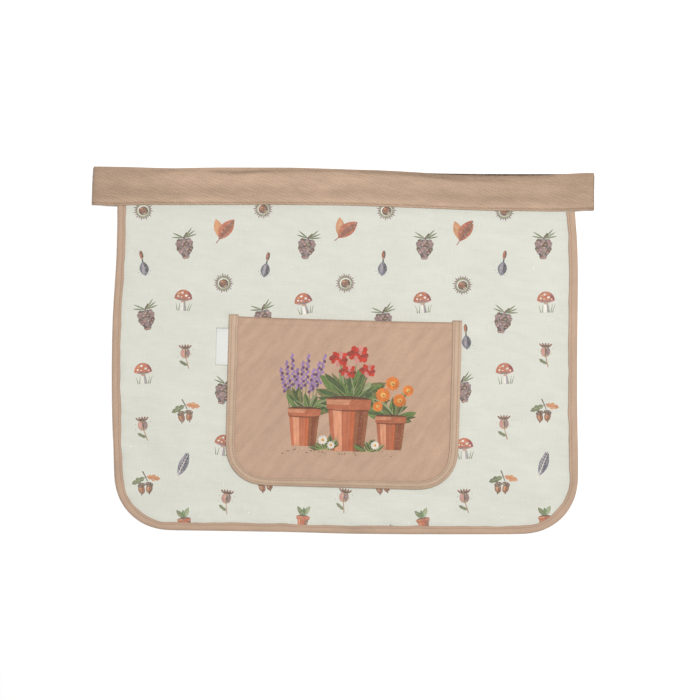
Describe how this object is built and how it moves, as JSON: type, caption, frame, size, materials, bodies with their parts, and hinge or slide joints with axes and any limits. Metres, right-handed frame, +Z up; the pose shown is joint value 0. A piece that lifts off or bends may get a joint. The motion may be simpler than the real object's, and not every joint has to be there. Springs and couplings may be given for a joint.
{
  "type": "gardening tool belt",
  "caption": "Short cotton waist apron worn as a gardening tool belt: a folded waist belt carries a bound panel with a wide patch pocket, laid flat.",
  "frame": {"origin": "on the surface that the apron lies on, under the middle of its outline", "axes": "+X along the waist belt, +Y from the hem to the waist, +Z up out of the apron's face"},
  "size_m": [0.6288, 0.4601, 0.0121],
  "materials": {
    "belt_twill": "matte tan cotton twill",
    "panel_cotton": "matte pale printed cotton",
    "edge_binding": "matte tan cotton bias binding",
    "pocket_canvas": "matte tan printed cotton canvas",
    "label_ribbon": "plain white woven ribbon"
  },
  "bodies": {
    "root": {"waist_belt": "belt_twill", "apron_panel": "panel_cotton", "panel_binding": "edge_binding", "pocket_panel": "pocket_canvas", "pocket_binding": "edge_binding", "side_label": "label_ribbon"}
  },
  "joints": []
}
